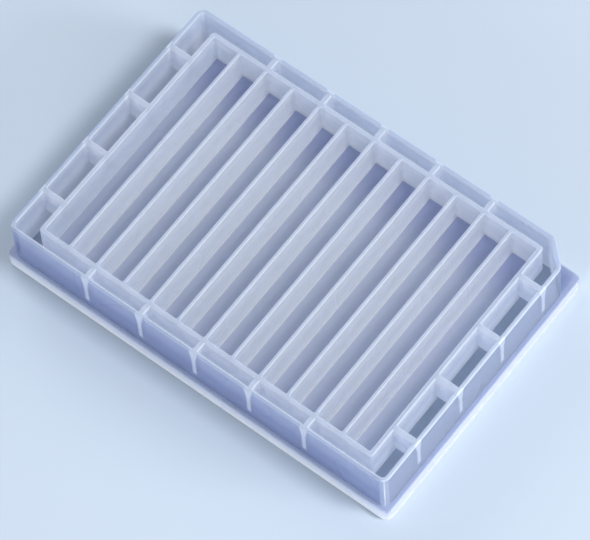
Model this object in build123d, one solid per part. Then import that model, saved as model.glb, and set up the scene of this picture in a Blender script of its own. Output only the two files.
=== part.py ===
"""Twelve-channel reagent reservoir, injection-moulded in one piece of natural polypropylene.

Frame: millimetres, +Z up, origin at the bottom centre of the flange. X runs along the long side, across
the channels, and Y runs along the channels. The index corner, which is cut off, is at +X +Y.
"""
from math import radians, tan
import os

from build123d import *

# Envelope: the microplate footprint, which the flange fills
footprint_length = 127.76
footprint_width = 85.48
overall_height = 20.0

# Flange: the skirt that seats in a plate holder
flange_height = 4.5
flange_thickness = 1.2
flange_corner_radius = 2.4
flange_edge_radius = 0.8
flange_foot_chamfer = 0.3

# Outer wall, which stands in from the flange and leaves a ledge
long_side_ledge = 1.2
short_side_ledge = 1.6
wall_thickness = 1.2
wall_corner_radius = 2.5
index_run_x = 7.0
index_run_y = 6.5

# Channel block
channel_count = 12
channel_pitch = 9.0
channel_length = 72.0
channel_depth = 10.8
divider_thickness = 0.9
block_wall = 1.3
block_corner_radius = 1.0
floor_thickness = 1.2

# Ribs that hang the block in the outer wall, across an open moat
rib_thickness = 1.6
rib_depth = 10.3
rib_pitch = 18.0
long_side_ribs = 5
short_side_ribs = 4

# Draft, in degrees, and the small radii of the mould
wall_draft = 0.5
channel_draft = 1.0
channel_radius = 0.5
rim_radius = 0.35
rim_chamfer = 0.25

# How far the moat is cut past the underside of the floor, into the hollow
through_cut = 0.5

# Points closer than this are taken as the same corner
same_corner = 0.01

# Levels and plan sizes worked out from the values above
floor_top = overall_height - channel_depth
floor_underside = floor_top - floor_thickness
wall_lean = tan(radians(wall_draft))
wall_length = footprint_length - 2 * short_side_ledge
wall_width = footprint_width - 2 * long_side_ledge
rim_length = wall_length - 2 * wall_lean * (overall_height - flange_height)
rim_width = wall_width - 2 * wall_lean * (overall_height - flange_height)
channel_width = channel_pitch - divider_thickness
block_length = channel_count * channel_pitch - divider_thickness + 2 * block_wall
block_width = channel_length + 2 * block_wall


def spread(count, pitch):
    """Centres of evenly spaced features, set out about zero."""
    return [(index - (count - 1) / 2) * pitch for index in range(count)]


def indexed_rectangle(length, width, inset=0.0):
    """Rectangle with the index corner cut off, shrunk evenly by the inset, with sharp corners."""
    half_x = length / 2
    half_y = width / 2
    outline = Polygon(
        (-half_x, -half_y),
        (half_x, -half_y),
        (half_x, half_y - index_run_y),
        (half_x - index_run_x, half_y),
        (-half_x, half_y),
        align=None,
    )
    return offset(outline, amount=-inset, kind=Kind.INTERSECTION) if inset else outline


def drafted_prism(plan, level, rise, angle):
    """Prism that starts from the plan at the level and leans inwards as it rises, or sinks if negative."""
    start = Plane((0, 0, level), z_dir=(0, 0, 1 if rise > 0 else -1))
    prism = extrude(Pos(0, 0, level) * plan, abs(rise), dir=start.z_dir)
    sides = prism.faces().filter_by(lambda face: abs(face.normal_at().Z) < 0.5)
    return draft(sides, start, angle)


def upright_edges(solid):
    return solid.edges().filter_by(lambda edge: abs(edge.tangent_at(0).Z) > 0.9)


def edges_at(edges, corners):
    """Upright edges whose top end stands over one of the corners of a plan."""

    def stands_on_corner(edge):
        top = edge.vertices().sort_by(Axis.Z)[-1]
        return any(abs(top.X - corner.X) + abs(top.Y - corner.Y) < same_corner for corner in corners)

    return edges.filter_by(stands_on_corner)


def frame_solid():
    """Flange and outer wall, still solid inside."""
    flange = extrude(Rectangle(footprint_length, footprint_width), flange_height)
    flange = fillet(upright_edges(flange), flange_corner_radius)
    flange = fillet(flange.edges().group_by(Axis.Z)[-1], flange_edge_radius)
    flange = chamfer(flange.edges().group_by(Axis.Z)[0], flange_foot_chamfer)
    wall_rise = overall_height - flange_height
    wall = drafted_prism(indexed_rectangle(wall_length, wall_width), flange_height, wall_rise, wall_draft)
    wall = fillet(upright_edges(wall), wall_corner_radius)
    return flange + fillet(wall.edges().group_by(Axis.Z)[-1], rim_radius)


def underside_tool():
    """Hollow under the floor, open at the foot and wider inside the flange."""
    plan = indexed_rectangle(wall_length, wall_width, wall_thickness)
    hollow = drafted_prism(plan, 0, floor_underside, wall_draft)
    skirt = extrude(
        Rectangle(footprint_length - 2 * flange_thickness, footprint_width - 2 * flange_thickness),
        flange_height - flange_thickness,
    )
    return fillet(upright_edges(hollow), wall_corner_radius - wall_thickness) + fillet(
        upright_edges(skirt), flange_corner_radius - flange_thickness
    )


def channel_tools():
    """One drafted pocket for each channel, rounded at its corners and round its floor."""
    plan = Rectangle(channel_width, channel_length)
    pocket = drafted_prism(plan, overall_height, -channel_depth, channel_draft)
    pocket = fillet(upright_edges(pocket), channel_radius)
    pocket = fillet(pocket.edges().group_by(Axis.Z)[0], channel_radius)
    return [Pos(x, 0, 0) * pocket for x in spread(channel_count, channel_pitch)]


def moat_tool():
    """Drafted ring between the outer wall and the block, open to the hollow below."""
    wall_inside = indexed_rectangle(rim_length, rim_width, wall_thickness)
    block = Rectangle(block_length, block_width)
    depth = overall_height - floor_underside + through_cut
    ring = drafted_prism(wall_inside - block, overall_height, -depth, wall_draft)
    for corners, radius in (
        (block.vertices(), block_corner_radius),
        (wall_inside.vertices(), wall_corner_radius - wall_thickness),
    ):
        ring = fillet(edges_at(upright_edges(ring), corners), radius)
    return ring


def ribs():
    """Drafted ribs across the moat, each with its ends let into the block's wall and the outer wall."""
    foot = overall_height - rib_depth
    foot_thickness = rib_thickness + 2 * wall_lean * rib_depth
    made = []
    for count, block_size, rim_size, turns in (
        (long_side_ribs, block_width, rim_width, (0, 180)),
        (short_side_ribs, block_length, rim_length, (90, 270)),
    ):
        near_end = (block_size - block_wall) / 2
        far_end = (rim_size - wall_thickness) / 2
        plan = Pos(0, (near_end + far_end) / 2) * Rectangle(foot_thickness, far_end - near_end)
        rib = drafted_prism(plan, foot, rib_depth, wall_draft)
        made += [Rot(0, 0, turn) * Pos(place, 0, 0) * rib for turn in turns for place in spread(count, rib_pitch)]
    return made


def reservoir():
    body = frame_solid() - underside_tool() - moat_tool() - channel_tools() + ribs()
    mouths = body.faces().sort_by(Axis.Z)[-1].inner_wires()
    return chamfer([edge for mouth in mouths for edge in mouth.edges()], rim_chamfer)


os.makedirs("parts", exist_ok=True)
export_step(reservoir(), "parts/reservoir.step")
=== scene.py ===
from math import radians
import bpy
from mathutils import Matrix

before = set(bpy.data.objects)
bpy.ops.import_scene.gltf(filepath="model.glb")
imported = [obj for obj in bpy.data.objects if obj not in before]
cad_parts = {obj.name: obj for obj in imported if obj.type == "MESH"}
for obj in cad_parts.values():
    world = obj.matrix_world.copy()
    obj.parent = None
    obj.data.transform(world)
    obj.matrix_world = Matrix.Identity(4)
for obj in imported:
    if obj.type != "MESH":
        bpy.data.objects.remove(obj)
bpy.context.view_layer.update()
from types import SimpleNamespace
import bpy
from mathutils import Matrix, Vector

bpy.ops.object.select_all(action="DESELECT")
print("frame loaded:", sorted(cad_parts))


camera = dict(place=(0.33326, -0.36631, 0.98305), azimuth=42.238, elevation=63.228, roll=-5.161,
              lens=252.63, sensorWidth=36.0, nearest=0.05, farthest=20)


def addCamera(c):
    bpy.ops.object.camera_add()
    view = bpy.context.object
    view.name = "mainCamera"
    view.data.lens = c["lens"]
    view.data.sensor_fit = "HORIZONTAL"
    view.data.sensor_width = c["sensorWidth"]
    view.data.clip_start, view.data.clip_end = c["nearest"], c["farthest"]
    view.matrix_world = (Matrix.Translation(Vector(c["place"]))
                         @ Matrix.Rotation(radians(c["azimuth"]), 4, "Z")
                         @ Matrix.Rotation(radians(90 - c["elevation"]), 4, "X")
                         @ Matrix.Rotation(radians(c["roll"]), 4, "Z"))
    bpy.context.scene.camera = view


addCamera(camera)
print("camera set")


class Wire:  # a socket in a material, so that shader maths reads as plain sums
    def __init__(self, tree, socket=None):
        self.tree, self.socket = tree, socket

    def node(self, kind, settings, sockets, out=0):
        made = self.tree.nodes.new(kind)
        for name, value in settings.items():
            if name == "stops":  # a ramp's stops: (place, colour)
                while len(made.color_ramp.elements) < len(value):
                    made.color_ramp.elements.new(1.0)
                for stop, (place, colour) in zip(made.color_ramp.elements, value):
                    stop.position, stop.color = place, colour
            else:
                setattr(made, name, value)
        for name, value in sockets.items():
            if isinstance(value, Wire):
                self.tree.links.new(value.socket, made.inputs[name])
            else:
                made.inputs[name].default_value = value
        return Wire(self.tree, made.outputs[out])

    def maths(self, operation, *values):
        return self.node("ShaderNodeMath", {"operation": operation}, dict(enumerate(values)))

    def __add__(self, other):
        return self.maths("ADD", self, other)

    def __sub__(self, other):
        return self.maths("SUBTRACT", self, other)

    def __rsub__(self, other):
        return self.maths("SUBTRACT", other, self)

    def __mul__(self, other):
        return self.maths("MULTIPLY", self, other)

    __radd__, __rmul__ = __add__, __mul__

    def __abs__(self):
        return self.maths("ABSOLUTE", self)

    def step(self, low, high):  # eases from 0 at low to 1 at high
        return self.node("ShaderNodeMapRange", {"interpolation_type": "SMOOTHSTEP"},
                         {"Value": self, "From Min": low, "From Max": high})

    def ramp(self, stops, low, high):
        place = self.node("ShaderNodeMapRange", {}, {"Value": self, "From Min": low, "From Max": high})
        return self.node("ShaderNodeValToRGB", {"stops": stops}, {"Fac": place})

    def blend(self, first, second, way="MIX"):  # self is the share of the second colour
        return self.node("ShaderNodeMix", {"data_type": "RGBA", "blend_type": way},
                         {0: self, 6: first, 7: second}, out=2)

    def mixed(self, first, second):  # the same for numbers
        return first + self * (second - first)

    def shaders(self, share, first, second):  # the same for shaders, where the share may be a plain number
        return self.node("ShaderNodeMixShader", {}, {0: share, 1: first, 2: second})

    def noise(self, scale, detail):
        return self.node("ShaderNodeTexNoise", {}, {"Vector": self, "Scale": scale, "Detail": detail})


# Places and lengths are in mm in the model's own frame, but grainDistance is in metres. A span is where a
# step starts and where it is complete. Stops run from 0 at the lower end of a ramp to 1 at its upper end.
plastic = dict(
    # where the parts of the moulding lie
    rimTop=20.0, rimSpan=(19.3, 19.8), flangeSpan=(4.6, 4.9), wallX=61.6, wallY=40.8,
    indexReach=96.2, indexSlant=0.7071, outsideEase=0.05, blockX=54.3, blockY=36.8, blockEase=0.1,
    plateTop=9.2, plateSpan=(9.22, 9.35), pitch=9.0, footEdgeX=63.88, footEdgeY=42.74,
    # tones inside: the block with its channels, their floors, and the moat, with painted light paler towards
    # the foot and painted shade at the block's ends and the channels' far ends
    insideLightStops=[(0.0, (0.99, 0.99, 1.0, 1)), (0.16, (0.98, 0.985, 1.0, 1)), (0.30, (0.80, 0.84, 0.91, 1)),
                 (0.60, (0.62, 0.66, 0.73, 1)), (1.0, (0.50, 0.54, 0.62, 1))],
    plateColour=(0.83, 0.87, 1.0, 1), plateEndShadeColour=(0.44, 0.47, 0.72, 1), plateEndSpan=(18.0, 34.0),
    blockEndShade=(0.80, 0.84, 0.90, 1), blockEndSpan=(52.6, 53.1),
    moatLightStops=[(0.0, (0.99, 0.99, 1.0, 1)), (0.30, (0.95, 0.97, 1.0, 1)), (0.50, (0.82, 0.86, 0.97, 1)),
               (1.0, (0.78, 0.82, 0.93, 1))],
    moatFoot=8.0,
    # tones outside: the near wall in painted shade, the other walls, the flange with a painted highlight at
    # its foot and painted shade up its ledge, and the corners with painted highlights
    nearWallShadeStops=[(0.0, (0.11, 0.14, 0.27, 1)), (0.60, (0.11, 0.13, 0.25, 1)), (0.95, (0.33, 0.37, 0.44, 1))],
    nearEase=0.3, sideTone=(0.33, 0.35, 0.33, 1),
    footLightStops=[(0.0, (1.0, 1.0, 1.0, 1)), (0.25, (0.97, 0.985, 1.0, 1)), (0.75, (0.58, 0.64, 0.80, 1)),
               (1.0, (0.20, 0.26, 0.50, 1))],
    footStart=0.5, footReach=6.0, footInward=2.0,
    cornerX=60.0, cornerY=39.2, cornerEase=0.8, cornerHighlightShare=0.6,
    # tones of the rims, with painted shade on the near rim and on each divider top's right half, and painted
    # highlights on the right rim and each divider top's left half
    outerRimColour=(0.64, 0.80, 1.0, 1), nearRimShadeColour=(0.46, 0.53, 0.61, 1), nearRimSpan=(40.0, 40.4),
    rightRimHighlightColour=(0.92, 1.0, 1.0, 1), rightRimSpan=(60.6, 61.0), ribTopColour=(0.56, 0.62, 0.72, 1),
    dividerTopHighlightColour=(0.72, 0.82, 1.0, 1), dividerTopShadeColour=(0.42, 0.48, 0.58, 1), dividerTopShadeSpan=(-0.25, 0.0),
    blockRimColour=(0.55, 0.63, 0.77, 1), blockRimSpan=(35.6, 36.0),
    # painted light streaks in the outer wall where the ribs stand behind it
    ribSpacing=18.0, ribHalf=0.3, ribFlare=0.6, ribFlareStart=13.0, ribFade=0.7, ribFootSpan=(7.0, 9.0),
    ribEndX=(45.0, 45.5), ribEndY=(36.0, 36.5), ribWallEase=0.2,
    ribCornerHighlightColour=(0.66, 0.72, 0.86, 1), ribShare=0.7,
    # light that spreads inside the plastic
    glowColour=(0.94, 0.965, 1.0, 1), deepGlowColour=(0.36, 0.43, 0.70, 1), glowShare=0.5,
    plateDeep=0.3, moatDeep=0.05, outsideDeep=0.9, leeGap=1.0, leeEnd=0.5,
    # light that passes straight through
    clearColour=(0.97, 0.98, 1.0, 1), deepClearColour=(0.70, 0.76, 0.88, 1), footClear=0.05, topClear=0.5,
    clearSpan=(10.7, 19.0), outsideClear=0.4, floorClear=0.35, leeClear=0.28, rimClear=0.3, ribClear=0.25,
    flangeClear=0.05,
    # the surface itself
    ior=1.49, roughness=0.26, roughnessSpread=0.12, cloudScale=45.0, cloudDetail=1.0, cloudSpread=0.03,
    grainScale=1400.0, grainDetail=0.0, grainDepth=0.02, grainDistance=0.0002)


def ribStreaks(w, x, y, z, p):  # 1 on the outer wall where a rib stands behind it, wider towards the rim; the mask of the painted light streaks
    gap = p["ribSpacing"] / 2

    def offRib(along, shift, ends, across, wall):  # mm from the nearest rib, large away from these two sides
        offEnds = abs(along).step(*ends) * gap
        offWall = (1 - abs(across).step(wall - p["ribWallEase"], wall)) * gap
        return w.maths("PINGPONG", along + shift, gap) + offEnds + offWall

    onLong = offRib(x, 0.0, p["ribEndX"], y, p["wallY"])
    onShort = offRib(y, gap, p["ribEndY"], x, p["wallX"])
    flare = z.step(p["ribFlareStart"], p["rimTop"])
    half = flare * flare * p["ribFlare"] + p["ribHalf"]
    near = w.maths("MINIMUM", onLong, onShort) - half
    return (1 - near.step(0.0, p["ribFade"])) * z.step(*p["ribFootSpan"])


def regions(w, x, y, z, p):  # masks, 1 in a part of the moulding and 0 elsewhere
    m, half = SimpleNamespace(), p["pitch"] / 2
    wall = w.maths("MAXIMUM", abs(x) - p["wallX"], abs(y) - p["wallY"])
    wall = w.maths("MAXIMUM", wall, (x + y - p["indexReach"]) * p["indexSlant"])
    m.outside = wall.step(-p["outsideEase"], p["outsideEase"])
    block = w.maths("MAXIMUM", abs(x) - p["blockX"], abs(y) - p["blockY"])
    m.block = 1 - block.step(-p["blockEase"], p["blockEase"])
    m.flange = 1 - z.step(*p["flangeSpan"])
    m.plate = m.block * (1 - z.step(*p["plateSpan"]))
    m.rim = z.step(*p["rimSpan"])
    # how far right of the nearest divider, and the channel floor on the divider's left, which it shades
    m.beside = w.maths("FLOORED_MODULO", x + half, p["pitch"]) - half
    m.lee = m.beside.step(-half, -p["leeGap"]) * (1 - m.beside.step(-p["leeEnd"], 0.0)) * m.plate
    m.rib = ribStreaks(w, x, y, z, p)
    return m


def insideTone(x, y, z, m, p):  # the block, with painted light paler downwards and painted shade at its ends, its plate with painted shade at the channels' far ends, and the moat with painted light paler downwards
    # painted shade: the floor darker towards the channels' far ends
    plateTone = y.step(*p["plateEndSpan"]).blend(p["plateColour"], p["plateEndShadeColour"])
    # painted light: the block paler towards its foot, against the channels' shade
    tone = m.plate.blend(z.ramp(p["insideLightStops"], p["plateTop"], p["rimTop"]), plateTone)
    # painted shade: the block darker at its two ends
    tone = (m.block * abs(x).step(*p["blockEndSpan"])).blend(tone, p["blockEndShade"], "MULTIPLY")
    # painted light: the moat paler towards its foot
    return m.block.blend(z.ramp(p["moatLightStops"], p["moatFoot"], p["rimTop"]), tone)


def outsideTone(w, x, y, z, m, p):  # the flange, painted white at its foot as a highlight and darker up its ledge as painted shade, the walls above it with the near one in painted shade, and painted highlights at the corners and rib streaks
    # painted highlight: the flange white at its foot; painted shade: darker up its ledge towards the wall
    inwards = w.maths("MINIMUM", p["footEdgeX"] - abs(x), p["footEdgeY"] - abs(y))
    foot = w.maths("MAXIMUM", inwards, 0.0) * p["footInward"] + z
    foot = foot.ramp(p["footLightStops"], p["footStart"], p["footReach"])
    near = (y * -1).step(p["wallY"], p["wallY"] + p["nearEase"])
    # painted shade: the near wall darker than the others, darkest low down
    walls = near.blend(p["sideTone"], z.ramp(p["nearWallShadeStops"], 0.0, p["rimTop"]))
    # painted highlights: paler bands either side of each vertical corner
    corner = w.maths("MINIMUM", abs(x) - p["cornerX"], abs(y) - p["cornerY"]).step(0.0, p["cornerEase"])
    # painted light: the rib streaks and corners lighter
    pale = w.maths("MAXIMUM", m.rib * p["ribShare"], corner * (1 - m.flange) * p["cornerHighlightShare"])
    return pale.blend(m.flange.blend(walls, foot), p["ribCornerHighlightColour"])


def rimTone(x, y, m, p):  # the outer wall's rim, with painted shade on the near side and a painted highlight on the right, the block's, with painted light and shade on the divider tops, and the ribs' tops
    # painted shade on the near rim, painted highlight on the right rim
    outer = (y * -1).step(*p["nearRimSpan"]).blend(p["outerRimColour"], p["nearRimShadeColour"])
    outer = x.step(*p["rightRimSpan"]).blend(outer, p["rightRimHighlightColour"])
    # painted highlight on each divider top's left half, painted shade on its right half
    dividers = m.beside.step(*p["dividerTopShadeSpan"]).blend(p["dividerTopHighlightColour"], p["dividerTopShadeColour"])
    block = abs(y).step(*p["blockRimSpan"]).blend(dividers, p["blockRimColour"])
    return m.outside.blend(m.block.blend(p["ribTopColour"], block), outer)


def deepGlow(m, p):  # share of the light that spreads inside and comes out bluer; lowered on the flange, at the rib streaks and on the floor in a divider's shade, as painted light that makes them read brighter
    share = m.outside.mixed((1 - m.block) * p["moatDeep"], p["outsideDeep"] * (1 - m.rib))
    # painted light: less deep glow on the floor in a divider's shade
    share = m.plate.mixed(share, p["plateDeep"]) - m.lee * p["plateDeep"]
    return share * (1 - m.flange)


def clearShare(z, m, p):  # share of the light that passes straight through; kept low at the inner walls' foot, on the flange, at the rib streaks and on the floor in a divider's shade, as painted light that makes them read brighter
    share = z.step(*p["clearSpan"]).mixed(p["footClear"], p["topClear"])
    share = m.outside.mixed(share, p["outsideClear"])
    # painted light: the floor in a divider's shade is less clear, so it reads brighter
    share = m.plate.mixed(share, p["floorClear"]) - m.lee * p["leeClear"]
    share = m.rim.mixed(share, p["rimClear"])
    share = (m.rib * m.outside).mixed(share, p["ribClear"])
    return m.flange.mixed(share, p["flangeClear"])


def plasticMaterial(p):
    mat = bpy.data.materials.new("naturalPolypropylene")
    mat.use_nodes = True
    mat.node_tree.nodes.clear()
    w = Wire(mat.node_tree)
    place = w.node("ShaderNodeTexCoord", {}, {}, out="Object")
    x, y, z = [w.node("ShaderNodeSeparateXYZ", {}, {0: place}, out=axis) * 1000 for axis in "XYZ"]  # in mm
    m = regions(w, x, y, z, p)
    cloud = place.noise(p["cloudScale"], p["cloudDetail"]) - 0.5
    grain = place.noise(p["grainScale"], p["grainDetail"])

    tone = m.outside.blend(insideTone(x, y, z, m, p), outsideTone(w, x, y, z, m, p))
    tone = m.rim.blend(tone, rimTone(x, y, m, p))
    shade = cloud * (2 * p["cloudSpread"]) + 1.0
    tone = w.node("ShaderNodeVectorMath", {"operation": "SCALE"}, {0: tone, "Scale": shade})
    bump = w.node("ShaderNodeBump", {},
                  {"Strength": p["grainDepth"], "Distance": p["grainDistance"], "Height": grain})
    solid = w.node("ShaderNodeBsdfPrincipled", {}, {
        "Base Color": tone, "Roughness": cloud * (2 * p["roughnessSpread"]) + p["roughness"],
        "IOR": p["ior"], "Normal": bump})

    glow = w.node("ShaderNodeBsdfTranslucent", {}, {"Color": p["glowColour"]})
    deep = w.node("ShaderNodeBsdfTranslucent", {}, {"Color": p["deepGlowColour"]})
    milk = w.shaders(p["glowShare"], solid, w.shaders(deepGlow(m, p), glow, deep))
    clear = w.node("ShaderNodeBsdfTransparent", {}, {"Color": p["clearColour"]})
    deepClear = w.node("ShaderNodeBsdfTransparent", {}, {"Color": p["deepClearColour"]})
    through = w.shaders(m.outside * (1 - m.rim), clear, deepClear)
    surface = w.shaders(clearShare(z, m, p), milk, through)
    out = mat.node_tree.nodes.new("ShaderNodeOutputMaterial")
    mat.node_tree.links.new(surface.socket, out.inputs["Surface"])
    return mat


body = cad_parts["reservoir"]
finish = plasticMaterial(plastic)
for slot in body.material_slots:
    slot.material = finish
print("plastic on")


studio = dict(floorColour=(0.50, 0.58, 0.68, 1), floorRoughness=0.9, floorSize=4.0,
              worldColour=(0.87, 0.92, 1.0, 1), worldStrength=0.395,
              keyPlace=(0.755, 0.246, 1.27), keySize=0.4, keyPower=12.8,
              backPlace=(-1.10, 0.55, 0.75), backSize=0.9, backPower=6.0,
              frontPlace=(0.35, -1.30, 0.22), frontSize=0.7, frontPower=15.0,
              sidePlace=(1.30, 0.40, 0.40), sideSize=0.6, sidePower=14.5,
              diffuseBounces=3, clearBounces=9)  # the second counts the clear walls that a ray may pass


def addLight(name, place, size, power):
    bpy.ops.object.light_add(type="AREA", location=place)
    lamp = bpy.context.object
    lamp.name = name
    lamp.data.shape = "DISK"
    lamp.data.size = size
    lamp.data.energy = power
    lamp.rotation_euler = (-Vector(place)).to_track_quat("-Z", "Y").to_euler()


def addStudio(s):
    bpy.ops.mesh.primitive_plane_add(size=s["floorSize"], location=(0, 0, 0))
    floor = bpy.context.object
    floor.name = "studioFloor"
    paper = bpy.data.materials.new("floorPaper")
    paper.use_nodes = True
    shader = paper.node_tree.nodes["Principled BSDF"]
    shader.inputs["Base Color"].default_value = s["floorColour"]
    shader.inputs["Roughness"].default_value = s["floorRoughness"]
    floor.data.materials.append(paper)
    world = bpy.data.worlds.new("studioWorld")
    bpy.context.scene.world = world
    world.use_nodes = True
    back = world.node_tree.nodes["Background"]
    back.inputs["Color"].default_value = s["worldColour"]
    back.inputs["Strength"].default_value = s["worldStrength"]
    for lamp in ("key", "back", "front", "side"):
        addLight(lamp + "Light", s[lamp + "Place"], s[lamp + "Size"], s[lamp + "Power"])
    bpy.context.scene.cycles.diffuse_bounces = s["diffuseBounces"]
    bpy.context.scene.cycles.transparent_max_bounces = s["clearBounces"]


addStudio(studio)
bpy.context.scene.view_settings.view_transform = "Standard"
print("studio ready")
